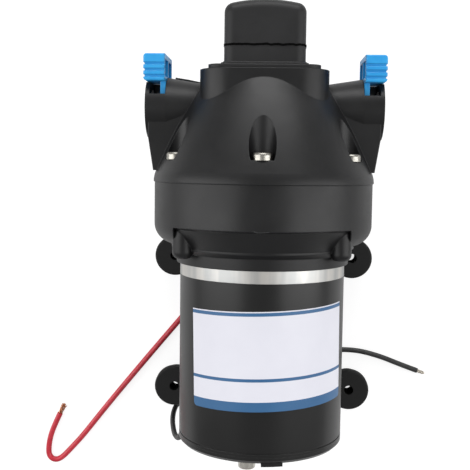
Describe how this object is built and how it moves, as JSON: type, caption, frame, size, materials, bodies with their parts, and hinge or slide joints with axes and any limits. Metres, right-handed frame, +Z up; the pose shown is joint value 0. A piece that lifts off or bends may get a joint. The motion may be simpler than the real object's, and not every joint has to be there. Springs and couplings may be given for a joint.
{
  "type": "caravan water pump",
  "caption": "Diaphragm water pump on a round motor, with a domed head, clipped side ports, a pressure switch on its nose, rubber feet and loose bare-ended leads.",
  "frame": {"origin": "middle of the four foot holes, on the surface that the feet stand on", "axes": "+X towards the right-hand port, +Y along the motor shaft towards the pump head, +Z up from the mounting surface"},
  "size_m": [0.2057, 0.2391, 0.1105],
  "materials": {
    "black_moulding": "fine satin texture of a glass-filled nylon moulding",
    "blue_moulding": "satin moulded plastic",
    "black_paint": "satin black enamel on steel",
    "turned_aluminium": "turned, fine rings",
    "plated_steel": "zinc plated",
    "bearing_steel": "ground and polished",
    "lamination_steel": "stacked stampings, varnished",
    "spring_steel": "drawn wire",
    "ferrite": "sintered magnet, dull grey",
    "copper": "bright copper",
    "winding_wire": "enamelled copper wire",
    "carbon": "pressed carbon",
    "brass": "pressed sheet",
    "sintered_bronze": "porous bush",
    "card": "brown laminate board",
    "black_rubber": "moulded, matt",
    "white_moulding": "natural acetal",
    "die_cast": "die cast, machined bore",
    "label_film": "printed film, bare of words",
    "red_cover": "soft extruded cover",
    "black_cover": "soft extruded cover",
    "tinned_tip": "tinned copper"
  },
  "bodies": {
    "pump": {"lower_housing": "black_moulding", "upper_housing": "black_moulding", "head_screws": "plated_steel", "adapter_screws": "plated_steel", "valve_plate": "white_moulding", "valve_plate_seal": "black_rubber", "outlet_seal": "black_rubber", "inlet_valves": "black_rubber", "outlet_valve": "black_rubber", "diaphragm": "black_rubber", "front_plate": "turned_aluminium", "front_bearing_outer": "bearing_steel", "motor_can": "black_paint", "magnets": "ferrite", "end_bell": "black_paint", "rear_bush": "sintered_bronze", "bolt_washers": "plated_steel", "through_bolts": "plated_steel", "brush_card": "card", "brush_boxes": "brass", "brushes": "carbon", "brush_springs": "spring_steel", "switch_base": "black_moulding", "switch_screws": "plated_steel", "switch_diaphragm": "black_rubber", "switch_spring": "spring_steel", "spring_collar": "white_moulding", "microswitch": "black_moulding", "microswitch_terminals": "brass", "switch_cover": "black_moulding", "base_plate": "black_paint", "base_screws": "plated_steel", "rubber_feet": "black_rubber", "rating_label": "label_film", "black_lead_grommet": "black_rubber", "red_lead_grommet": "black_rubber", "red_lead": "red_cover", "red_lead_strands": "copper", "black_lead": "black_cover", "black_lead_tip": "tinned_tip"},
    "rotor": {"shaft": "bearing_steel", "armature_core": "lamination_steel", "armature_windings": "winding_wire", "commutator": "copper", "cam": "die_cast", "cam_set_screw": "plated_steel", "front_bearing_inner": "bearing_steel", "front_bearing_balls": "bearing_steel", "wobble_bearing_inner": "bearing_steel", "wobble_bearing_balls": "bearing_steel"},
    "wobble": {"wobble_plate": "white_moulding", "wobble_bearing_outer": "bearing_steel", "piston_buttons": "white_moulding", "piston_screws": "plated_steel"},
    "left_clip": {"left_clip": "blue_moulding"},
    "right_clip": {"right_clip": "blue_moulding"},
    "plunger": {"switch_plunger": "white_moulding", "microswitch_button": "white_moulding"}
  },
  "joints": [
    {"name": "rotor_spin", "type": "hinge", "parent": "pump", "child": "rotor", "pos_m": [0, 0.0382, 0.06], "axis": [0, 1, 0], "continuous": true},
    {"name": "wobble_nod", "type": "hinge", "parent": "rotor", "child": "wobble", "pos_m": [0, 0.0764, 0.06], "axis": [0, 0.9981, 0.061], "continuous": true, "deforming": ["diaphragm"]},
    {"name": "left_clip_slide", "type": "slide", "parent": "pump", "child": "left_clip", "axis": [0, 1, 0], "range_m": [0, 0.009]},
    {"name": "right_clip_slide", "type": "slide", "parent": "pump", "child": "right_clip", "axis": [0, 1, 0], "range_m": [0, 0.009]},
    {"name": "plunger_slide", "type": "slide", "parent": "pump", "child": "plunger", "axis": [0, 1, 0], "range_m": [0, 0.001], "stiffness_N_per_m": 1500, "springref_m": -0.004, "deforming": ["switch_spring", "switch_diaphragm"]}
  ],
  "couplings": [
    {"joint": "wobble_nod", "follows": "rotor_spin", "ratio": -1}
  ]
}
